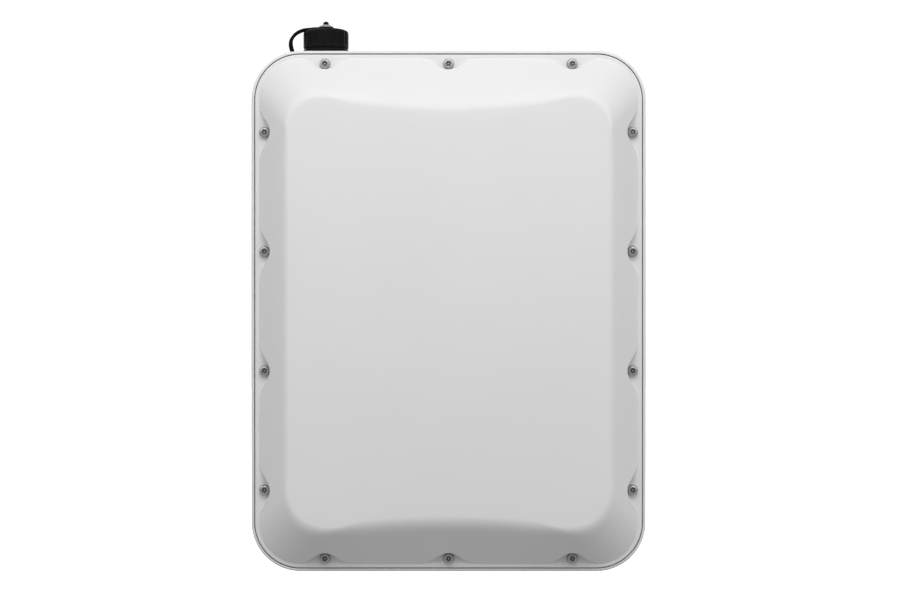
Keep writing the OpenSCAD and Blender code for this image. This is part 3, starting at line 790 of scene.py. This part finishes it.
def make_cap():
    """Fluted cap: 20 shallow scallops that run out into a plain band below and a rounded shoulder above."""
    mb = MB()
    R, z0 = 16.0, 176.0
    nf = 20
    outer = [(15.2, z0), (15.7, z0 + 0.15), (15.9, z0 + 0.5), (R, z0 + 1.0), (R, 184.75),
             (15.9, 185.05), (15.52, 185.28), (15.45, 185.5), (15.45, 185.95), (15.8, 186.2), (15.97, 186.5),
             (R, 187.0), (R, 187.5), (R, 188.0), (R, 188.5), (R, 189.2), (R, 191), (R, 193), (R, 195.2),
             (15.98, 196.3), (15.95, 197.0), (15.85, 197.5), (15.65, 197.95), (15.2, 198.48),
             (14.5, 198.86), (13.8, 199.18), (13.1, 199.46), (12.4, 199.66), (11.7, 199.8),
             (10.3, 200.08), (8.85, 200.36), (7.4, 200.48), (6.2, 200.56), (5.2, 200.62),
             (2.6, 200.62), (1.6, 200.62)]

    def depth(z):
        return 0.55 * smooth01((z - 187.2) / 2.0) * smooth01((198.9 - z) / 1.6)

    inner = [(1.6, 195.0), (7.2, 195.0), (7.8, 194.6), (8.0, 193.8), (8.0, 190.4), (8.4, 190.0),
             (12.4, 190.0), (12.6, 189.7)]
    z = 188.6
    while z > 178.5:
        inner += [(12.6, z), (12.95, z - 0.75), (12.95, z - 1.15), (12.6, z - 1.9)]
        z -= 2.6
    inner += [(12.6, 177.4), (12.6, 176.6), (12.95, 176.2), (13.4, z0), (15.0, z0)]
    prof = outer + inner

    def rf(j, r, a):
        if j < len(outer) and r > 12:
            z = outer[j][1]
            c = 0.5 - 0.5 * math.cos(nf * a)
            return r - depth(z) * (c ** 1.6)
        return r
    lathe_z(mb, PX, PD, prof, n=nf * 16, rf=rf, first=False, last=False)
    return mb.build("fluted_cap", M_CAP, "dust_cap", sharp=48, weld=0.0005)


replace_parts(make_cap(), "dust_cap")


def make_rivet():
    mb = MB()
    prof = [(0.4, 193.9), (1.2, 193.9), (2.3, 194.8), (2.25, 194.95), (1.55, 195.0), (1.55, 203.2),
            (1.95, 203.22), (2.05, 203.35), (2.05, 203.7), (2.0, 204.15), (1.84, 204.6), (1.55, 204.98),
            (1.15, 205.28), (0.75, 205.45), (0.3, 205.5)]
    lathe_z(mb, PX, PD, prof, n=40)
    return mb.build("cap_pin", M_CAP, "dust_cap", sharp=40)


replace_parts(make_rivet(), "cap_rivet")


def make_tether_washer():
    mb = MB()
    prof = [(1.8, 201.5), (1.95, 201.4), (4.8, 201.4), (5.05, 201.5), (5.1, 201.7), (5.04, 201.88),
            (4.75, 202.08), (3.6, 202.62), (2.9, 202.98), (2.6, 203.12), (2.3, 203.2), (1.95, 203.2),
            (1.8, 203.05), (1.8, 201.5)]
    lathe_z(mb, PX, PD, prof, n=64, first=False, last=False)
    return mb.build("pin_washer", M_WASHER, "cap_carrier", sharp=40, weld=0.0005)


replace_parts(make_tether_washer(), "tether_washer")


def make_strap():
    """Rubber strap: an eyelet on the cap, a flat band that curves down outside it, a ring round the neck."""
    mb = MB()
    ctrl = [(-2.6, 201.02), (-4.6, 201.02), (-6.8, 200.97), (-8.2, 200.9), (-9.7, 200.7), (-12.5, 200.3),
            (-13.9, 200.0), (-15.3, 199.6), (-16.8, 199.06), (-18.2, 198.6), (-19.6, 197.94),
            (-21.0, 197.04), (-22.2, 196.0), (-23.1, 194.96), (-23.9, 193.8), (-24.5, 192.7),
            (-24.85, 191.4), (-25.0, 190.0), (-24.95, 188.5), (-24.7, 187.0), (-24.3, 185.6),
            (-23.4, 183.2), (-22.0, 180.7), (-20.1, 178.2), (-17.9, 176.0), (-16.0, 174.8),
            (-14.6, 174.5)]
    thick = [0.6, 0.6, 0.56, 0.6, 0.68, 0.98, 1.35, 1.75, 1.95, 1.96, 1.93, 1.84, 1.78, 1.73, 1.78, 2.0,
             2.28, 2.6, 2.82, 2.92, 2.9, 2.85, 2.7, 2.4, 2.1, 1.8, 1.7]
    # Catmull-Rom through the points
    path = []
    for i in range(1, len(ctrl) - 2):
        p0, p1, p2, p3 = [np.array(ctrl[j]) for j in (i - 1, i, i + 1, i + 2)]
        for k in range(4):
            t = k / 4
            p = 0.5 * ((2 * p1) + (-p0 + p2) * t + (2 * p0 - 5 * p1 + 4 * p2 - p3) * t * t
                       + (-p0 + 3 * p1 - 3 * p2 + p3) * t ** 3)
            path.append((p, thick[i] + (thick[i + 1] - thick[i]) * t))
    path.append((np.array(ctrl[-2]), thick[-2]))
    rings = []
    for i, (p, t) in enumerate(path):
        a = path[max(0, i - 1)][0]
        b = path[min(len(path) - 1, i + 1)][0]
        tan = (b - a) / np.linalg.norm(b - a)
        nrm = np.array([-tan[1], tan[0]])
        hw, ht, r = 3.5, t / 2, min(0.45, t * 0.38)
        ring = []
        for cx, ch, a0 in ((1, 1, 0), (-1, 1, 90), (-1, -1, 180), (1, -1, 270)):
            for k in range(4):
                an = math.radians(a0 + 90 * k / 3)
                w = cx * (hw - r) + r * math.cos(an)
                h = ch * (ht - r) + r * math.sin(an)
                q = p + nrm * h
                ring.append((PX + q[0], PD + w, q[1]))
        rings.append(ring)
    mb.rings(rings, first=True, last=True)
    # eyelet on the cap and ring round the neck
    for r0, r1, z0, z1 in ((1.8, 5.4, 200.68, 201.35), (12.7, 16.4, BODY_TOP + 3.5, BODY_TOP + 5.3)):
        e = 0.22 if z1 - z0 < 1.5 else 0.5
        prof = [(r0, z0 + 0.2), (r0 + 0.2, z0), (r1 - e, z0), (r1 - 0.28 * e, z0 + 0.3 * e),
                (r1, z0 + e), (r1, z1 - e), (r1 - 0.28 * e, z1 - 0.3 * e), (r1 - e, z1),
                (r0 + 0.2, z1), (r0, z1 - 0.2), (r0, z0 + 0.2)]
        lathe_z(mb, PX, PD, prof, n=72, first=False, last=False)
    o = mb.build("tether_band", M_STRAP, None, sharp=40, weld=0.0005)
    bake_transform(o)
    return o


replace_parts(make_strap(), "tether_strap")


# ------------------------------------------------------------------ plugged entries and vent
def hexr(a, apothem, rmax):
    t = (a % (PI / 3)) - PI / 6
    return min(rmax, apothem / math.cos(t))


def make_plugs():
    mb = MB()
    for x in (-38.5, 7.0, 52.5, 98.0):
        zt = -BODY_TOP
        dome = []
        for i in range(12):
            a = math.radians(2 + 82 * i / 11)
            dome.append((11.5 * math.cos(a), zt - 3.2 - 11.5 * math.sin(a)))
        prof = [(9.2, zt + 9.5), (9.9, zt + 8.9)]
        z = zt + 8.2
        while z > zt + 0.8:
            prof += [(9.9, z), (9.3, z - 0.75)]
            z -= 1.5
        prof += [(9.6, zt), (9.6, zt - 1.5), (12.9, zt - 1.5), (13.4, zt - 1.8), (13.4, zt - 4.6),
                 (12.9, zt - 5.2), (11.7, zt - 5.45), (11.35, zt - 5.5)]
        nh = len(prof)
        prof += [q for q in dome if q[1] < zt - 5.6] + [(0.4, zt - 14.69)]

        def rf(j, r, a, nh=nh, prof=prof):
            if r > 12.2 and j < nh:
                return hexr(a, 11.65, r)
            return r
        lathe_z(mb, x, PD, prof, n=96, rf=rf, rot=0.0)
    return mb.build("blanking_plugs", M_GREY, "housing", sharp=30)


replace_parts(make_plugs(), "entry_plugs")


def make_vent():
    mb = MB()
    zt = -BODY_TOP
    prof = [(5.6, zt + 9), (5.95, zt + 8.6)]
    z = zt + 8
    while z > zt + 0.5:
        prof += [(5.95, z), (5.5, z - 0.6)]
        z -= 1.2
    prof += [(5.6, zt), (5.6, zt - 1.2), (8.6, zt - 1.2), (9.0, zt - 1.5), (9.0, zt - 2.2),
             (8.2, zt - 2.3), (8.2, zt - 3.4), (9.0, zt - 3.5), (9.0, zt - 4.9), (8.7, zt - 5.3),
             (8.0, zt - 5.5), (0.4, zt - 5.5)]

    def rf(j, r, a):
        if r > 8.5:
            return r - 0.25 * (0.5 + 0.5 * math.cos(24 * a)) ** 2
        return r
    lathe_z(mb, -88.0, PD, prof, n=96, rf=rf)
    return mb.build("vent_plug", M_GREY, "housing", sharp=35)


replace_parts(make_vent(), "vent_body")


# ------------------------------------------------------------------ materials of the carried-over nodes
def paint(node, m, width=None):
    o = CAD[node]
    o.data.materials.clear()
    o.data.materials.append(m)
    for p in o.data.polygons:
        p.material_index = 0


for nd in ("cover_gasket", "port_seal", "cap_seal", "entry_plug_seals", "vent_seal"):
    paint(nd, M_SEAL)
paint("port_jam_nut", M_NICKEL)
paint("port_insert", M_BLACK)
M_GOLD = surface("gold_flash", (0.83, 0.60, 0.22), rough=0.28, metal=1.0, var=0.05, var_scale=150, fine=2500, grain=0.00001)
M_CABLE = surface("cable_jacket", (0.03, 0.03, 0.034), rough=0.5, var=0.1, var_scale=90, fine=1200, grain=0.00002)
M_MEMBRANE = surface("membrane", (0.8, 0.8, 0.78), rough=0.8, var=0.03, fine=3000, grain=0.00003)
M_CHIP = surface("chip_epoxy", (0.022, 0.022, 0.024), rough=0.5, var=0.12, var_scale=70, fine=2600, grain=0.00002)
M_PAD = surface("gap_pad", (0.62, 0.32, 0.37), rough=0.75, var=0.06, fine=900, grain=0.00004)
M_TIN = surface("tin_plate", (0.70, 0.70, 0.69), rough=0.36, metal=1.0, var=0.06, var_scale=60, fine=1800, grain=0.00001)
M_MODULE = surface("black_anodised", (0.05, 0.05, 0.055), rough=0.45, metal=0.6, var=0.08, fine=1800, grain=0.00001)
M_CAN = surface("capacitor_sleeve", (0.03, 0.05, 0.12), rough=0.35, var=0.06, fine=1500, grain=0.00001)
M_HEADER = surface("header_nylon", (0.72, 0.68, 0.56), rough=0.5, var=0.03, fine=1500, grain=0.00001)
M_COPPER = surface("tinned_coax", (0.72, 0.50, 0.38), rough=0.35, metal=1.0, var=0.08, var_scale=140, fine=1500, grain=0.00001)
M_REFLECT = surface("chromated_sheet", (0.68, 0.68, 0.66), rough=0.38, metal=1.0, var=0.05, var_scale=20, fine=1200, grain=0.00001, brushed=(180, (1, 1, 30)))
M_NYLON = surface("natural_nylon", (0.78, 0.77, 0.71), rough=0.45, var=0.03, fine=1500, grain=0.00001)
M_PATCH = surface("passivated_brass", (0.74, 0.55, 0.27), rough=0.34, metal=1.0, var=0.07, var_scale=50, fine=1600, grain=0.00001, brushed=(220, (1, 1, 24)))


def board_material(name, base, trace, sc):
    k = Nodes(name)
    v = k.voronoi(sc, vec=k.scaled(1, 0.02, 1), feature="DISTANCE_TO_EDGE")
    tr = k.rng(v, 0.02, 0.05, 1.0, 0.0)
    broad = k.rng(k.noise(25, 4, 0.6), 0.3, 0.7, 0.0, 1.0)
    col = k.mix(broad, tuple(q * 0.85 for q in base), tuple(min(1, q * 1.15) for q in base))
    col = k.mix(k.math("MULTIPLY", tr, 0.8), col, trace)
    k.link(col, k.b.inputs["Base Color"])
    k.link(k.rng(k.noise(400, 2), 0.3, 0.7, 0.28, 0.42), k.b.inputs["Roughness"])
    k.link(k.bump(tr, 0.00004), k.b.inputs["Normal"])
    return k.m


M_BOARD = board_material("solder_mask", (0.015, 0.12, 0.05), (0.03, 0.22, 0.10), 190)
M_FEED = board_material("microwave_laminate", (0.50, 0.46, 0.33), (0.62, 0.45, 0.24), 60)
for nd, m in (("port_contacts", M_GOLD), ("port_lead", M_CABLE), ("vent_membrane", M_MEMBRANE),
              ("main_board", M_BOARD), ("board_screws", M_STEEL), ("board_chips", M_CHIP),
              ("power_chips", M_CHIP), ("thermal_pads", M_PAD), ("shield_frames", M_TIN),
              ("shield_lids", M_TIN), ("power_module", M_MODULE), ("line_transformers", M_CHIP),
              ("capacitors", M_CAN), ("lead_header", M_HEADER), ("rf_sockets", M_GOLD),
              ("rf_leads", M_COPPER), ("reflector_posts", M_STEEL), ("antenna_reflector", M_REFLECT),
              ("reflector_screws", M_STEEL), ("feed_spacers", M_NYLON), ("feed_board", M_FEED),
              ("patch_spacers", M_NYLON), ("patches_low", M_PATCH), ("patches_high", M_PATCH)):
    paint(nd, m)

# ------------------------------------------------------------------ floor, light, camera
fm = bpy.data.meshes.new("floor")
fm.from_pydata([(-6, -6, -0.26), (6, -6, -0.26), (6, 6, -0.26), (-6, 6, -0.26)], [], [(0, 1, 2, 3)])
floor = bpy.data.objects.new("floor", fm)
bpy.context.scene.collection.objects.link(floor)
k = Nodes("studio_floor")
k.link(k.mix(k.rng(k.noise(3, 4), 0.3, 0.7, 0, 1), (0.86, 0.86, 0.86), (0.90, 0.90, 0.90)), k.b.inputs["Base Color"])
k.b.inputs["Roughness"].default_value = 0.8
k.b.inputs["Specular IOR Level"].default_value = 0.1
k.b.inputs["Emission Color"].default_value = (1, 1, 1, 1)
k.b.inputs["Emission Strength"].default_value = 0.95
floor.visible_diffuse = False
floor.visible_glossy = False
floor.visible_shadow = False
fm.materials.append(k.m)

world = bpy.data.worlds.new("studio")
bpy.context.scene.world = world
world.use_nodes = True
wt = world.node_tree
wt.nodes.clear()
wo = wt.nodes.new("ShaderNodeOutputWorld")
mixs = wt.nodes.new("ShaderNodeMixShader")
lp = wt.nodes.new("ShaderNodeLightPath")
bg_cam = wt.nodes.new("ShaderNodeBackground")
bg_cam.inputs[0].default_value = (1, 1, 1, 1)
bg_cam.inputs[1].default_value = 1.05
bg_amb = wt.nodes.new("ShaderNodeBackground")
bg_amb.inputs[0].default_value = (1, 1, 1, 1)
bg_amb.inputs[1].default_value = 0.39
wt.links.new(lp.outputs["Is Camera Ray"], mixs.inputs[0])
wt.links.new(bg_amb.outputs[0], mixs.inputs[1])
wt.links.new(bg_cam.outputs[0], mixs.inputs[2])
wt.links.new(mixs.outputs[0], wo.inputs[0])


def area(name, loc, target, size, power, size_y=None, spread=180):
    l = bpy.data.lights.new(name, "AREA")
    l.energy = power
    l.size = size
    if size_y:
        l.shape = "RECTANGLE"
        l.size_y = size_y
    l.spread = math.radians(spread)
    o = bpy.data.objects.new(name, l)
    o.location = loc
    o.rotation_euler = (Vector(target) - Vector(loc)).to_track_quat("-Z", "Y").to_euler()
    bpy.context.scene.collection.objects.link(o)
    return o


def dome(name, el, az, r, size, power, gloss=True):
    """A soft panel light aimed at the cover, placed by elevation, azimuth and distance."""
    e, a = math.radians(el), math.radians(az)
    o = area(name, (r * math.cos(e) * math.sin(a), -0.09 - r * math.cos(e) * math.cos(a),
                    r * math.sin(e)), (0, -0.07, 0), size, power)
    o.visible_glossy = gloss


dome("key", 45, 0, 1.2, 0.8, 7.73)
dome("side_left", 30, -60, 1.6, 0.9, 5.34)
dome("side_right", 30, 60, 1.6, 0.9, 5.39)
dome("edge_right", 0, 80, 1.6, 0.9, 1.52, False)
area("back_left_fill", (-1.2, 1.9, 0.8), (0, 0, 0), 1.4, 16)
area("back_right_fill", (1.1, 1.7, 0.5), (0, 0, 0), 1.2, 8)

cam = bpy.data.cameras.new("camera")
cam.sensor_width = 36
cam.lens = 102.857
cam.clip_start, cam.clip_end = 0.05, 60
co = bpy.data.objects.new("camera", cam)
co.location = (0.000987, -1.866, 0.00774)
co.rotation_euler = (PI / 2, 0, 0)
bpy.context.scene.collection.objects.link(co)
bpy.context.scene.camera = co
sc = bpy.context.scene
sc.view_settings.view_transform = "Standard"
sc.view_settings.look = "None"
sc.view_settings.exposure = 0.0
sc.view_settings.gamma = 1.0
